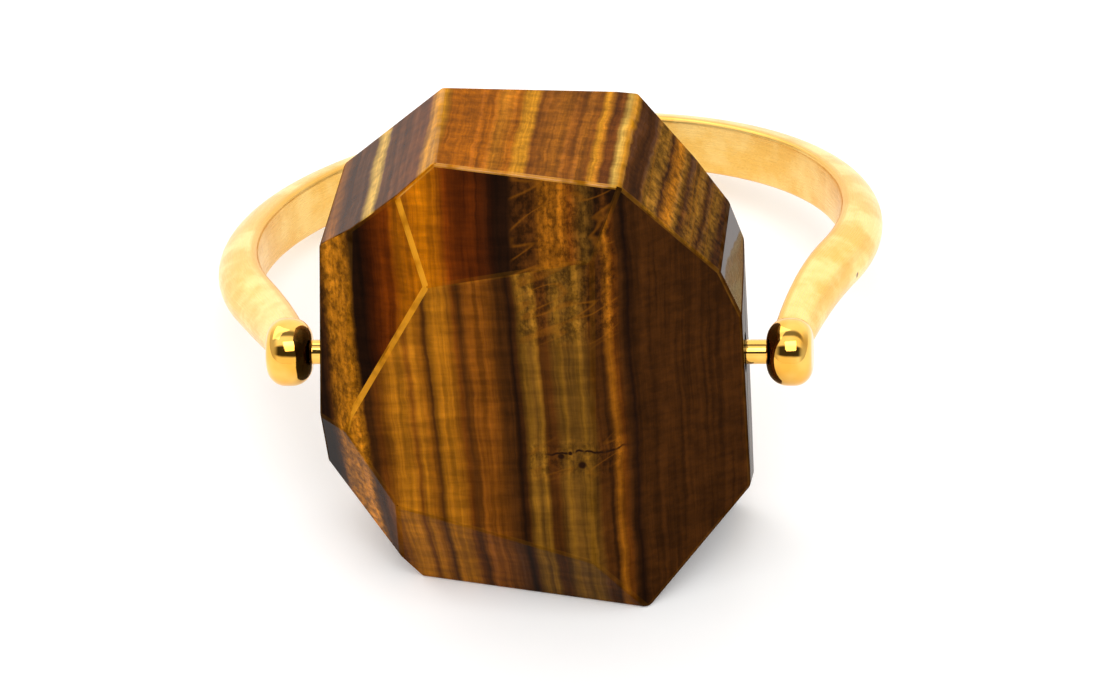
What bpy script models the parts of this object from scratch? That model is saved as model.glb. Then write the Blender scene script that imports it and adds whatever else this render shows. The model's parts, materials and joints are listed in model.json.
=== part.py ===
"""A finger ring whose drilled, faceted stone swivels on two pins.

The ring rests as it would by itself: the stone stands on its foot facet, and the
back of the shank lies on the same surface. Metres, +Z up. The origin lies on the
foot facet, straight below the middle of the pins, and +X runs along the pins.
"""

from collections import namedtuple
from math import asin, atan2, cos, pi, radians, sin

import bmesh
import bpy
from mathutils import Matrix, Vector

# Band of half-round wire, flat inside and domed outside
FINGER_WIDTH = 0.0173
LOOP_DEPTH = 0.0084
BAND_WIDTH = 0.00165
BAND_THICKNESS = 0.0012
BAND_EDGE_RADIUS = 0.00015

# Arms, from the round loop to the barrels
LOOP_OVERRUN = radians(20)
ARM_PULL = 0.0024
ARM_SEAT = 0.0002
ARM_TAPER = 0.8
LOOP_SKEW = radians(2.8)
LOOP_TWIST = radians(3.2)

# Barrels and pins
BARREL_GAP = 0.00055
BARREL_DIAMETER = 0.0020
BARREL_LENGTH = 0.00135
BARREL_ROUNDING = 0.0004
PIN_DIAMETER = 0.00072
PIN_REACH = 0.0030
PIN_ROUNDING = 0.0001
BORE_CLEARANCE = 0.00019

# Stone, before its corners are cut
STONE_WIDTH = 0.0122
STONE_HEIGHT = 0.0150
STONE_THICKNESS = 0.0060

# Fineness of the round forms
LOOP_STEPS = 72
ARM_STEPS = 14
DOME_STEPS = 16
CORNER_STEPS = 3
BARREL_SIDES = 48
PIN_SIDES = 28
ROUNDING_STEPS = 4

# Each facet is the plane  across * x + up * y + out * z = 1,  where x, y and z are
# shares of the stone's half width, half height and half thickness.
Facet = namedtuple("Facet", "name across up out")
FACETS = (
    Facet("foot", -0.055, -1.09, -0.07),
    Facet("top", 0.09, 1.01, -0.01),
    Facet("top_left", -0.54, 0.75, 0.00),
    Facet("top_right", 0.76, 0.67, 0.00),
    Facet("upper_right", 0.92, 0.36, 0.00),
    Facet("right", 1.01, -0.01, -0.03),
    Facet("lower_right", 0.65, -0.60, 0.10),
    Facet("lower_left", -0.76, -0.59, 0.00),
    Facet("left", -1.01, 0.02, -0.06),
    Facet("front_table", 0.00, 0.00, 1.00),
    Facet("front_top", -0.06, 0.41, 0.75),
    Facet("front_top_left", -0.38, 0.26, 0.68),
    Facet("front_left", -0.65, 0.19, 0.44),
    Facet("front_lower_left", -0.65, -0.42, 0.37),
    Facet("front_bottom", -0.19, -0.68, 0.56),
    Facet("front_right", 0.78, -0.04, 0.77),
    Facet("back_table", 0.00, 0.00, -1.00),
    Facet("back_top", -0.18, 0.35, -0.74),
    Facet("back_right", 0.45, 0.10, -0.60),
    Facet("back_lower_right", 0.34, -0.27, -0.54),
    Facet("back_top_left", -0.45, 0.26, -0.47),
    Facet("back_left", -0.62, -0.05, -0.45),
    Facet("back_lower_left", -0.44, -0.40, -0.45),
    Facet("back_bottom", 0.05, -0.55, -0.52),
)
FOOT = FACETS[0]
BLANK_SIZE = 3.0

# Worked out from the sizes above
LOOP_RADIUS = FINGER_WIDTH / 2
BARREL_FACE = STONE_WIDTH / 2 + BARREL_GAP
ARM_END = BARREL_FACE + (BARREL_LENGTH - ARM_TAPER * BAND_THICKNESS) / 2
PIN_TIP = BARREL_FACE - BARREL_GAP - PIN_REACH
PIN_ROOT = BARREL_FACE + BARREL_LENGTH / 2
BORE_DIAMETER = PIN_DIAMETER + 2 * BORE_CLEARANCE

GOLD = {"color": (0.83, 0.60, 0.25, 1.0), "metallic": 1.0, "roughness": 0.28}
TIGER_EYE = {"color": (0.23, 0.11, 0.03, 1.0), "metallic": 0.0, "roughness": 0.18}


def clear_scene():
    for item in list(bpy.data.objects):
        bpy.data.objects.remove(item, do_unlink=True)


def new_collection(name):
    collection = bpy.data.collections.new(name)
    bpy.context.scene.collection.children.link(collection)
    return collection


def new_material(name, color, metallic, roughness):
    material = bpy.data.materials.new(name)
    material.use_nodes = True
    shader = material.node_tree.nodes["Principled BSDF"]
    shader.inputs["Base Color"].default_value = color
    shader.inputs["Metallic"].default_value = metallic
    shader.inputs["Roughness"].default_value = roughness
    return material


def new_empty(name, matrix, collection):
    empty = bpy.data.objects.new(name, None)
    empty.matrix_world = matrix
    collection.objects.link(empty)
    return empty


def mesh_object(name, mesh, collection):
    item = bpy.data.objects.new(name, mesh)
    collection.objects.link(item)
    return item


def turned_bar(name, start, end, diameter, sides, rounding, collection):
    """A round bar along X from start to end, with its rims rounded over."""
    mesh = bpy.data.meshes.new(name)
    work = bmesh.new()
    bmesh.ops.create_cone(
        work,
        cap_ends=True,
        segments=sides,
        radius1=diameter / 2,
        radius2=diameter / 2,
        depth=abs(end - start),
        matrix=Matrix.Translation(((start + end) / 2, 0, 0)) @ Matrix.Rotation(pi / 2, 4, "Y"),
    )
    work.to_mesh(mesh)
    work.free()
    bar = mesh_object(name, mesh, collection)
    if rounding:
        bevel = bar.modifiers.new("rims", "BEVEL")
        bevel.width = rounding
        bevel.segments = ROUNDING_STEPS
        bevel.limit_method = "ANGLE"
        bevel.angle_limit = radians(60)
    bar.hide_render = True
    bar.display_type = "WIRE"
    return bar


def add_boolean(item, other, operation):
    modifier = item.modifiers.new(other.name, "BOOLEAN")
    modifier.operation = operation
    modifier.object = other
    modifier.solver = "EXACT"


def shade(item, angle):
    item.data.shade_smooth()
    item.data.set_sharp_from_angle(angle=angle)


def half_round_outline():
    """The wire's section as (outward, along the finger): flat inside, domed outside."""
    half = BAND_WIDTH / 2
    points = []
    for step in range(CORNER_STEPS + 1):
        turn = pi / 2 * step / CORNER_STEPS
        outward = BAND_EDGE_RADIUS * (1 - cos(turn))
        points.append((outward, -half + BAND_EDGE_RADIUS * (1 - sin(turn))))
    dome = BAND_THICKNESS - BAND_EDGE_RADIUS
    for step in range(1, DOME_STEPS):
        turn = -pi / 2 + pi * step / DOME_STEPS
        points.append((BAND_EDGE_RADIUS + dome * cos(turn), half * sin(turn)))
    for step in range(CORNER_STEPS + 1):
        turn = pi / 2 * (1 - step / CORNER_STEPS)
        outward = BAND_EDGE_RADIUS * (1 - cos(turn))
        points.append((outward, half - BAND_EDGE_RADIUS * (1 - sin(turn))))
    return points


def band_path():
    """The inside face's middle line, with X along the pins and Y to the back.

    Each point comes with the wire's size there, as a share of its full size.
    """
    turned = Matrix.Rotation(LOOP_SKEW, 4, "Z") @ Matrix.Rotation(-LOOP_TWIST, 4, "Y")
    centre = Vector((0, LOOP_DEPTH, 0))

    def on_loop(angle):
        return turned @ (centre + LOOP_RADIUS * Vector((cos(angle), sin(angle), 0)))

    def arm(side):
        angle = -LOOP_OVERRUN if side > 0 else pi + LOOP_OVERRUN
        tangent = turned @ Vector((sin(angle) * side, -cos(angle) * side, 0))
        foot = Vector((side * ARM_END, ARM_SEAT, 0))
        shoulder = on_loop(angle)
        knee = shoulder + ARM_PULL * tangent
        points = []
        for step in range(ARM_STEPS):
            t = step / ARM_STEPS
            point = foot * (1 - t) ** 2 + knee * 2 * t * (1 - t) + shoulder * t * t
            points.append((point, ARM_TAPER + (1 - ARM_TAPER) * t * (2 - t)))
        return points

    sweep = pi + 2 * LOOP_OVERRUN
    turns = [-LOOP_OVERRUN + sweep * step / LOOP_STEPS for step in range(LOOP_STEPS + 1)]
    return arm(1) + [(on_loop(angle), 1.0) for angle in turns] + arm(-1)[::-1]


def poly_curve(name, points, sizes, cyclic, collection):
    curve = bpy.data.curves.new(name, "CURVE")
    curve.dimensions = "3D"
    spline = curve.splines.new("POLY")
    spline.points.add(len(points) - 1)
    for target, point, size in zip(spline.points, points, sizes):
        target.co = (*point, 1)
        target.radius = size
    spline.use_cyclic_u = cyclic
    item = bpy.data.objects.new(name, curve)
    collection.objects.link(item)
    return item


def make_band(collection):
    """The wire swept along its path and turned into a closed mesh."""
    outline = [(outward, height, 0) for outward, height in half_round_outline()]
    points, sizes = zip(*band_path())
    profile = poly_curve("band_profile", outline, [1.0] * len(outline), True, collection)
    path = poly_curve("band_path", points, sizes, False, collection)
    path.data.twist_mode = "Z_UP"
    path.data.bevel_mode = "OBJECT"
    path.data.bevel_object = profile
    path.data.use_fill_caps = True
    bpy.context.view_layer.update()
    evaluated = path.evaluated_get(bpy.context.evaluated_depsgraph_get())
    mesh = bpy.data.meshes.new_from_object(evaluated)
    work = bmesh.new()
    work.from_mesh(mesh)
    bmesh.ops.remove_doubles(work, verts=work.verts, dist=1e-6)
    bmesh.ops.recalc_face_normals(work, faces=work.faces)
    work.to_mesh(mesh)
    work.free()
    bpy.data.objects.remove(path, do_unlink=True)
    bpy.data.objects.remove(profile, do_unlink=True)
    return mesh


def pin_side_tools(side, collection):
    """The polished barrel at an arm's end, and the pin from it into the stone."""
    word = "right" if side > 0 else "left"
    barrel = turned_bar(
        f"{word}_barrel",
        side * BARREL_FACE,
        side * (BARREL_FACE + BARREL_LENGTH),
        BARREL_DIAMETER,
        BARREL_SIDES,
        BARREL_ROUNDING,
        collection,
    )
    pin = turned_bar(
        f"{word}_pin",
        side * PIN_TIP,
        side * PIN_ROOT,
        PIN_DIAMETER,
        PIN_SIDES,
        PIN_ROUNDING,
        collection,
    )
    return barrel, pin


def make_shank(parts, tools):
    shank = mesh_object("shank", make_band(tools), parts)
    for side in (1, -1):
        for tool in pin_side_tools(side, tools):
            tool.parent = shank
            add_boolean(shank, tool, "UNION")
    shank.data.materials.append(new_material("gold", **GOLD))
    shade(shank, radians(35))
    return shank


def facet_normal(facet):
    """The facet's outward direction, in the stone's own frame: front is -Y, up is +Z."""
    return Vector(
        (
            facet.across / (STONE_WIDTH / 2),
            -facet.out / (STONE_THICKNESS / 2),
            facet.up / (STONE_HEIGHT / 2),
        )
    )


def cut_blank():
    """A block cut by every facet in turn, in shares of the half sizes."""
    work = bmesh.new()
    bmesh.ops.create_cube(work, size=BLANK_SIZE)
    for facet in FACETS:
        pull = Vector((facet.across, -facet.out, facet.up))
        cut = bmesh.ops.bisect_plane(
            work,
            geom=work.verts[:] + work.edges[:] + work.faces[:],
            dist=1e-6,
            plane_co=pull / pull.length_squared,
            plane_no=pull.normalized(),
            clear_outer=True,
        )
        rim = [item for item in cut["geom_cut"] if isinstance(item, bmesh.types.BMEdge)]
        bmesh.ops.edgeloop_fill(work, edges=rim)
    half_sizes = (STONE_WIDTH / 2, STONE_THICKNESS / 2, STONE_HEIGHT / 2)
    bmesh.ops.scale(work, vec=half_sizes, verts=work.verts)
    bmesh.ops.recalc_face_normals(work, faces=work.faces)
    return work


def make_stone(parts, tools):
    mesh = bpy.data.meshes.new("stone")
    work = cut_blank()
    work.to_mesh(mesh)
    work.free()
    stone = mesh_object("stone", mesh, parts)
    bore = turned_bar(
        "bore", -STONE_WIDTH, STONE_WIDTH, BORE_DIAMETER, PIN_SIDES, 0, tools
    )
    bore.parent = stone
    add_boolean(stone, bore, "DIFFERENCE")
    stone.data.materials.append(new_material("tiger_eye", **TIGER_EYE))
    return stone


def stone_rest():
    """The turn that lays the foot facet flat, and the pins' height above it."""
    foot = facet_normal(FOOT)
    lean = atan2(-foot.y, -foot.z)
    side_roll = asin(-foot.x / foot.length)
    pin_roll = Matrix.Rotation(-side_roll, 4, "Y")
    return pin_roll, pin_roll @ Matrix.Rotation(lean, 4, "X"), 1 / foot.length


def shank_rest(pin_roll, pin_height, shank):
    """The turn about the pins at which the back of the band just touches the floor."""
    points = [vertex.co.copy() for vertex in shank.data.vertices]

    def lowest(pitch):
        turned = pin_roll @ Matrix.Rotation(-pitch, 4, "X")
        return min((turned @ point).z for point in points)

    low, high = 0.0, pi / 2
    for _ in range(40):
        middle = (low + high) / 2
        if lowest(middle) > -pin_height:
            low = middle
        else:
            high = middle
    return pin_roll @ Matrix.Rotation(-low, 4, "X")


def build():
    clear_scene()
    parts = new_collection("swivel_stone_ring")
    tools = new_collection("cutters")
    shank = make_shank(parts, tools)
    stone = make_stone(parts, tools)
    pin_roll, stone_turn, pin_height = stone_rest()
    lift = Matrix.Translation((0, 0, pin_height))
    shank.parent = new_empty("pin_axis", lift @ shank_rest(pin_roll, pin_height, shank), parts)
    stone.parent = new_empty("stone_axis", lift @ stone_turn, parts)


build()
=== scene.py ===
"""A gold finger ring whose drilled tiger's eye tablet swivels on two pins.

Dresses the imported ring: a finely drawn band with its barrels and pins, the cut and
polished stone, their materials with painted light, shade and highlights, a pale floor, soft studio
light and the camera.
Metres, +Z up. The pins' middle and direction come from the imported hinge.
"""

import json
from collections import namedtuple
from math import cos, pi, radians, sin

import bmesh
import bpy
from bpy.props import FloatProperty, FloatVectorProperty, IntProperty, PointerProperty
from mathutils import Matrix, Vector


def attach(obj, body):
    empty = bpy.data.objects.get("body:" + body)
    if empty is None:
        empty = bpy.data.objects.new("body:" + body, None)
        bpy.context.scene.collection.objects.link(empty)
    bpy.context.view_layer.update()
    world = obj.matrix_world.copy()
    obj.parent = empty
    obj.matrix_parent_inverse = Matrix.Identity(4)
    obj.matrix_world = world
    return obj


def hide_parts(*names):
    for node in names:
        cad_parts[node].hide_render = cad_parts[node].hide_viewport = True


bl_info = {
    "name": "Swivel Stone Ring",
    "version": (1, 0, 0),
    "blender": (4, 5, 0),
    "location": "View3D > Sidebar > Ring",
    "description": "Makes a ring with a swivelling cut stone, its finishes and its stage",
    "category": "Object",
}

MM = 0.001

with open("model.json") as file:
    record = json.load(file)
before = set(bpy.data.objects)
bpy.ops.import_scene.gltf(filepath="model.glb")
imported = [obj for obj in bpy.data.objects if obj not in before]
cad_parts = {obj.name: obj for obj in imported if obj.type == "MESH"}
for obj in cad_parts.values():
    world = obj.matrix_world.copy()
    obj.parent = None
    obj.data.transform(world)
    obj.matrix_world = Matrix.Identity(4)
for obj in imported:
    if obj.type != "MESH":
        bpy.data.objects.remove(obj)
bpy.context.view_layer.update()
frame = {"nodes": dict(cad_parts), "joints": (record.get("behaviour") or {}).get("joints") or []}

HINGE = frame["joints"][0]
PIN_CENTRE = Vector(HINGE["pos_m"])
PIN_AXIS = Vector(HINGE["axis"]).normalized()


def srgb(red, green, blue):
    """A colour given from 0 to 255, as it looks on a screen, in linear light."""

    def linear(value):
        share = value / 255
        return share / 12.92 if share <= 0.04045 else ((share + 0.055) / 1.055) ** 2.4

    return linear(red), linear(green), linear(blue)


# The stone's colours, roughly from dark to light
TONES = {
    "black": srgb(34, 15, 4),
    "umber": srgb(72, 38, 8),
    "dusk": srgb(86, 34, 2),
    "brown": srgb(84, 45, 9),
    "olive": srgb(110, 72, 20),
    "chestnut": srgb(114, 59, 9),
    "russet": srgb(130, 56, 4),
    "tan": srgb(138, 76, 14),
    "moss": srgb(142, 95, 24),
    "honey": srgb(158, 92, 15),
    "rust": srgb(172, 94, 5),
    "amber": srgb(188, 115, 20),
    "gold": srgb(216, 144, 28),
    "orange": srgb(226, 128, 6),
    "cream": srgb(236, 186, 84),
}

# The stone's bands: each turning point of their colour, from the stone's left to its
# right, in mm from the pins' middle. Fibres catch the light one way on one facet and not
# on the next, so the front, the facets that tilt up from it and the top have their own.
Band = namedtuple("Band", "across tone")
FRONT_BANDS = (
    Band(-6.25, "black"),
    Band(-6.05, "umber"),
    Band(-5.85, "amber"),
    Band(-5.20, "amber"),
    Band(-5.00, "umber"),
    Band(-4.84, "umber"),
    Band(-4.62, "chestnut"),
    Band(-4.36, "honey"),
    Band(-4.15, "amber"),
    Band(-3.80, "amber"),
    Band(-3.60, "tan"),
    Band(-3.42, "amber"),
    Band(-3.20, "honey"),
    Band(-2.98, "brown"),
    Band(-2.82, "amber"),
    Band(-2.46, "amber"),
    Band(-2.10, "chestnut"),
    Band(-1.94, "brown"),
    Band(-1.72, "tan"),
    Band(-1.30, "tan"),
    Band(-0.86, "brown"),
    Band(-0.64, "umber"),
    Band(-0.50, "black"),
    Band(-0.36, "umber"),
    Band(-0.14, "moss"),
    Band(0.06, "olive"),
    Band(0.20, "moss"),
    Band(0.36, "brown"),
    Band(0.58, "brown"),
    Band(0.80, "olive"),
    Band(0.92, "moss"),
    Band(1.06, "olive"),
    Band(1.30, "olive"),
    Band(1.48, "moss"),
    Band(1.62, "olive"),
    Band(1.88, "brown"),
    Band(2.18, "umber"),
    Band(2.38, "honey"),
    Band(2.54, "chestnut"),
    Band(2.70, "umber"),
    Band(2.90, "black"),
    Band(3.10, "umber"),
    Band(6.20, "umber"),
)
UPPER_BANDS = (
    Band(-6.25, "black"),
    Band(-6.05, "umber"),
    Band(-5.80, "amber"),
    Band(-5.25, "amber"),
    Band(-5.00, "black"),
    Band(-4.70, "black"),
    Band(-4.35, "dusk"),
    Band(-3.85, "russet"),
    Band(-3.55, "rust"),
    Band(-3.20, "rust"),
    Band(-2.85, "orange"),
    Band(-2.40, "rust"),
    Band(-2.10, "russet"),
    Band(-1.80, "dusk"),
    Band(-1.35, "dusk"),
    Band(-0.66, "black"),
    Band(-0.34, "black"),
    Band(-0.05, "umber"),
    Band(0.40, "brown"),
    Band(0.66, "honey"),
    Band(1.15, "honey"),
    Band(1.42, "chestnut"),
    Band(1.75, "olive"),
    Band(2.18, "black"),
    Band(2.40, "brown"),
    Band(2.58, "black"),
    Band(3.40, "black"),
    Band(4.00, "umber"),
    Band(4.60, "dusk"),
    Band(5.00, "russet"),
    Band(6.20, "chestnut"),
)
TOP_BANDS = (
    Band(-6.40, "cream"),
    Band(-5.95, "brown"),
    Band(-5.60, "honey"),
    Band(-5.35, "brown"),
    Band(-4.60, "brown"),
    Band(-4.45, "cream"),
    Band(-4.28, "cream"),
    Band(-4.12, "brown"),
    Band(-2.90, "chestnut"),
    Band(-2.70, "gold"),
    Band(-2.42, "gold"),
    Band(-2.22, "rust"),
    Band(-1.05, "rust"),
    Band(-0.80, "amber"),
    Band(-0.35, "rust"),
    Band(-0.20, "gold"),
    Band(0.05, "gold"),
    Band(0.20, "tan"),
    Band(0.90, "honey"),
    Band(1.35, "tan"),
    Band(1.60, "honey"),
    Band(1.88, "tan"),
    Band(2.02, "gold"),
    Band(2.18, "amber"),
    Band(2.30, "chestnut"),
    Band(2.52, "chestnut"),
    Band(2.66, "cream"),
    Band(2.84, "gold"),
    Band(2.96, "brown"),
    Band(3.36, "umber"),
    Band(3.50, "moss"),
    Band(3.68, "moss"),
    Band(3.80, "umber"),
    Band(4.00, "amber"),
    Band(4.16, "moss"),
    Band(4.30, "brown"),
    Band(4.60, "moss"),
    Band(4.78, "brown"),
    Band(5.00, "moss"),
    Band(5.20, "umber"),
    Band(6.40, "umber"),
)

# Where broken fibres mix dark and golden specks: across the bands and up, in mm
Speckle = namedtuple("Speckle", "side first last low high strength")
SPECKLES = (
    Speckle("front", -6.10, -5.02, -8.0, 8.0, 0.65),
    Speckle("front", -0.25, 2.62, 2.2, 8.0, 0.65),
    Speckle("front", -0.25, 2.45, -2.4, -1.2, 0.55),
    Speckle("top", 3.40, 5.40, 3.0, 9.0, 0.60),
    Speckle("top", -2.20, 2.60, 6.0, 9.0, 0.22),
)

# How each facet shows the bands. Its plane is about  across * x + up * y + out * z = 1,
# with x, y and z in shares of the stone's half width, height and thickness. Upper and top choose
# its bands, the glow column is painted light and shade that makes the facet lighter or darker by
# the way it faces, and gloss is the share of the clear polish that it keeps. A facet takes the
# row that faces most nearly its way.
FacetLook = namedtuple("FacetLook", "name across up out upper top glow gloss")
FACET_LOOKS = (
    FacetLook("front_table", 0.00, 0.00, 1.00, 0.0, 0.0, 1.00, 0.04),
    FacetLook("front_top", -0.06, 0.41, 0.75, 1.0, 0.0, 1.00, 0.04),
    FacetLook("front_top_left", -0.38, 0.26, 0.68, 1.0, 0.0, 0.85, 0.03),
    FacetLook("front_left", -0.65, 0.19, 0.44, 1.0, 0.0, 0.95, 0.04),
    FacetLook("front_lower_left", -0.65, -0.42, 0.37, 0.0, 0.0, 0.80, 0.25),
    FacetLook("front_bottom", -0.19, -0.68, 0.56, 0.0, 0.0, 0.80, 0.12),
    FacetLook("front_right", 0.78, -0.04, 0.77, 0.0, 0.0, 0.95, 0.04),
    FacetLook("top", 0.09, 1.01, -0.01, 0.0, 1.0, 1.10, 0.10),
    FacetLook("top_left", -0.54, 0.75, 0.00, 0.0, 1.0, 1.15, 0.34),
    FacetLook("top_right", 0.76, 0.67, 0.00, 0.0, 1.0, 1.10, 0.04),
    FacetLook("upper_right", 0.92, 0.36, 0.00, 0.0, 1.0, 0.80, 0.60),
    FacetLook("right", 1.01, 0.00, -0.005, 0.0, 0.0, 0.55, 0.30),
    FacetLook("left", -1.01, 0.02, -0.06, 0.0, 0.0, 0.55, 0.30),
    FacetLook("foot", -0.055, -1.09, -0.065, 0.0, 0.0, 0.90, 0.30),
    FacetLook("back_table", 0.00, 0.00, -1.00, 0.3, 0.0, 1.00, 0.30),
    FacetLook("back_top", -0.22, 0.37, -0.72, 0.0, 0.4, 1.00, 0.30),
)

# How the soft edge between two facets shows: how strong a painted gold highlight it takes, and how
# much clear polish it keeps
EdgeLook = namedtuple("EdgeLook", "one other golden gloss")
EDGE_LOOKS = (
    EdgeLook("front_table", "front_top_left", 0.75, 0.1),
    EdgeLook("front_top", "front_top_left", 0.90, 0.1),
    EdgeLook("top", "front_top", 0.6, 1.0),
    EdgeLook("top", "front_top_left", 0.6, 1.0),
    EdgeLook("top", "top_right", 0.25, 0.2),
    EdgeLook("top", "top_left", 0.1, 0.6),
    EdgeLook("top_right", "front_right", 0.12, 0.1),
)
EDGE_TOLERANCE = radians(1)
# Every other soft edge takes a faint painted gold highlight
PLAIN_EDGE = EdgeLook("any", "other", 0.04, 0.05)

# The studio's light, by its angle from the front horizon over the top to the back
Strip = namedtuple("Strip", "degrees level")
SKY = (
    Strip(0, 0.9),
    Strip(20, 0.9),
    Strip(27, 0.04),
    Strip(58, 0.04),
    Strip(66, 1.0),
    Strip(92, 1.0),
    Strip(100, 0.2),
    Strip(112, 0.2),
    Strip(122, 1.0),
    Strip(180, 1.0),
)
SKY_EVEN = 0.5

# Small flaws of the stone's front, in mm across and up from the pins' middle
Flaw = namedtuple("Flaw", "across up radius")
STONE_PITS = (
    Flaw(0.78, -1.72, 0.13),
    Flaw(1.38, -2.02, 0.16),
    Flaw(1.05, -1.62, 0.09),
)
CRACK_UP = -1.62
CRACK_SPAN = (0.1, 2.9)

# Small pits of the gold: where each lies in mm, across, back and up in the shank's frame
Pit = namedtuple("Pit", "across back up radius")
GOLD_PITS = (
    Pit(6.1, 14.4, -0.35, 0.16),
    Pit(8.9, 5.3, 0.35, 0.11),
)


class RingBandSettings(bpy.types.PropertyGroup):
    finger_width: FloatProperty(
        name="Finger width",
        description="Width inside the loop",
        default=0.0173,
        unit="LENGTH",
    )
    loop_depth: FloatProperty(
        name="Loop depth",
        description="From the pins to the loop's middle",
        default=0.0084,
        unit="LENGTH",
    )
    wire_width: FloatProperty(
        name="Wire width",
        description="The half-round wire's size along the finger",
        default=0.00165,
        unit="LENGTH",
    )
    wire_thickness: FloatProperty(
        name="Wire thickness",
        description="The half-round wire's size outwards from the finger",
        default=0.0012,
        unit="LENGTH",
    )
    edge_radius: FloatProperty(
        name="Edge radius",
        description="Rounding of the wire's two inner edges",
        default=0.00015,
        unit="LENGTH",
    )
    overrun: FloatProperty(
        name="Overrun",
        description="How far the round loop runs on past its half circle at each side",
        default=radians(20),
        unit="ROTATION",
    )
    arm_pull: FloatProperty(
        name="Arm pull",
        description="How far each arm keeps the loop's direction before it turns to its barrel",
        default=0.0024,
        unit="LENGTH",
    )
    arm_seat: FloatProperty(
        name="Arm seat",
        description="How far behind the pins' line each arm ends",
        default=0.0002,
        unit="LENGTH",
    )
    arm_taper: FloatProperty(
        name="Arm taper",
        description="The wire's size at its barrels, as a share of its size in the loop",
        default=0.8,
        min=0.1,
        max=1.0,
    )
    skew: FloatProperty(
        name="Loop skew",
        description="Turn of the loop to one side",
        default=radians(2.8),
        unit="ROTATION",
    )
    twist: FloatProperty(
        name="Loop twist",
        description="Turn of the loop against the pins' line",
        default=radians(3.2),
        unit="ROTATION",
    )
    colour: FloatVectorProperty(
        name="Gold",
        description="Colour of the gold in a plain light",
        default=(0.94, 0.67, 0.24),
        subtype="COLOR",
        size=3,
        min=0.0,
        max=1.0,
    )


class RingBarrelSettings(bpy.types.PropertyGroup):
    diameter: FloatProperty(
        name="Barrel diameter",
        description="Across each polished barrel",
        default=0.0020,
        unit="LENGTH",
    )
    length: FloatProperty(
        name="Barrel length",
        description="Length of each barrel along the pins",
        default=0.00135,
        unit="LENGTH",
    )
    gap: FloatProperty(
        name="Gap to the stone",
        description="Bare pin between the stone and a barrel",
        default=0.00055,
        unit="LENGTH",
    )
    inner_rounding: FloatProperty(
        name="Inner rounding",
        description="Rounding of the rim next to the stone",
        default=0.00062,
        unit="LENGTH",
    )
    outer_rounding: FloatProperty(
        name="Outer rounding",
        description="Rounding of the outer rim",
        default=0.00055,
        unit="LENGTH",
    )
    pin_diameter: FloatProperty(
        name="Pin diameter",
        description="Across each pin",
        default=0.00072,
        unit="LENGTH",
    )
    pin_reach: FloatProperty(
        name="Pin reach",
        description="How far each pin runs into the stone",
        default=0.0030,
        unit="LENGTH",
    )
    pin_rounding: FloatProperty(
        name="Pin rounding",
        description="Rounding of each pin's tip",
        default=0.0001,
        unit="LENGTH",
    )


class RingStoneSettings(bpy.types.PropertyGroup):
    width: FloatProperty(
        name="Stone width",
        description="Across the stone along the pins",
        default=0.0122,
        unit="LENGTH",
    )
    height: FloatProperty(
        name="Stone height",
        description="Up the stone's face, before its corners are cut",
        default=0.0150,
        unit="LENGTH",
    )
    thickness: FloatProperty(
        name="Stone thickness",
        description="From the stone's front to its back",
        default=0.0060,
        unit="LENGTH",
    )
    rim: FloatProperty(
        name="Facet rim",
        description="How far the soft edge between two facets reaches into each",
        default=0.00009,
        unit="LENGTH",
    )
    shortest_edge: FloatProperty(
        name="Shortest edge",
        description="Facet corners nearer to each other than this are drawn as one",
        default=0.0005,
        unit="LENGTH",
    )
    rim_steps: IntProperty(
        name="Rim steps",
        description="Faces across each soft edge",
        default=3,
        min=1,
        max=8,
    )
    bore_diameter: FloatProperty(
        name="Bore diameter",
        description="The hole that the pins sit in",
        default=0.0011,
        unit="LENGTH",
    )
    bore_flare: FloatProperty(
        name="Bore flare",
        description="How far the worn mouth of the hole widens",
        default=0.00008,
        unit="LENGTH",
    )
    lean: FloatProperty(
        name="Band lean",
        description="Shift of the bands across for each length down the stone",
        default=0.022,
    )
    fan: FloatProperty(
        name="Band fan",
        description="How much more the bands lean for each mm towards the stone's left",
        default=0.007,
    )
    skew: FloatProperty(
        name="Band skew",
        description="Shift of the bands across for each length into the stone",
        default=0.03,
    )
    lift: FloatProperty(
        name="Lift",
        description="Makes all the bands lighter or darker",
        default=0.66,
    )


class RingStageSettings(bpy.types.PropertyGroup):
    elevation: FloatProperty(
        name="Camera elevation",
        description="Angle of the camera above the floor",
        default=radians(41),
        unit="ROTATION",
    )
    yaw: FloatProperty(
        name="Camera yaw",
        description="Angle of the camera to the right of the stone's front",
        default=radians(4),
        unit="ROTATION",
    )
    distance: FloatProperty(
        name="Camera distance",
        description="From the camera to the pins",
        default=0.6,
        unit="LENGTH",
    )
    view_width: FloatProperty(
        name="View width",
        description="Width of the picture at the ring",
        default=0.0321,
        unit="LENGTH",
    )
    aim_right: FloatProperty(
        name="Aim right",
        description="How far right of the pins' middle the camera aims",
        default=0.0003,
        unit="LENGTH",
    )
    aim_up: FloatProperty(
        name="Aim up",
        description="How far above the pins' middle the camera aims",
        default=0.0002,
        unit="LENGTH",
    )
    floor_colour: FloatVectorProperty(
        name="Floor",
        description="Colour of the floor",
        default=(0.93, 0.92, 0.91),
        subtype="COLOR",
        size=3,
        min=0.0,
        max=1.0,
    )
    sky_strength: FloatProperty(
        name="Sky strength",
        description="Brightness of the soft light all round",
        default=1.4,
    )


# Where the bands are charted, in mm: this high above the pins, on the front face
BAND_LEVEL = 2.35
FACE_DEPTH = 3.0
SLOW_WAVER = 0.25
QUICK_WAVER = 0.12

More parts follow.
